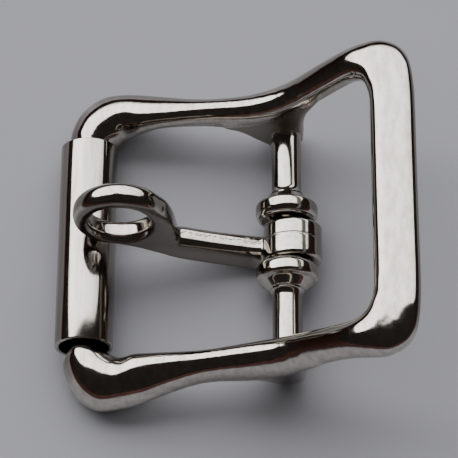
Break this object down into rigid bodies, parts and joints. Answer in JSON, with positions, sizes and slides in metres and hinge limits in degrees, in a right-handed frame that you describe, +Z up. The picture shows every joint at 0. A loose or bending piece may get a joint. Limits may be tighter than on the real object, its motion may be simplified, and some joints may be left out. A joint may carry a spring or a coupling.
{
  "type": "roller buckle",
  "caption": "Cast metal strap buckle with a roller on its front bar, a raised keeper bar for the strap's free end and a hinged tongue with a ring eye.",
  "frame": {"origin": "on the plane that the buckle lies on, below the middle of its outside size", "axes": "+Z up from that plane, through the flat top of the keeper bar; +X along the strap, from the roller to the keeper bar; +Y along the roller and the crossbar"},
  "size_m": [0.0398, 0.0384, 0.0187],
  "materials": {
    "nickel_plated_zinc": "polished",
    "nickel_plated_steel": "polished",
    "nickel_plated_zinc_tongue": "polished"
  },
  "bodies": {
    "frame": {"frame": "nickel_plated_zinc"},
    "roller": {"roller": "nickel_plated_steel"},
    "tongue": {"tongue": "nickel_plated_zinc_tongue"}
  },
  "joints": [
    {"name": "tongue_hinge", "type": "hinge", "parent": "frame", "child": "tongue", "pos_m": [0.00587, 0, 0.0036], "axis": [0, 1, 0], "range_deg": [0, 85]},
    {"name": "roller_spin", "type": "hinge", "parent": "frame", "child": "roller", "pos_m": [-0.01663, 0, 0.00325], "axis": [0, 1, 0], "continuous": true}
  ]
}
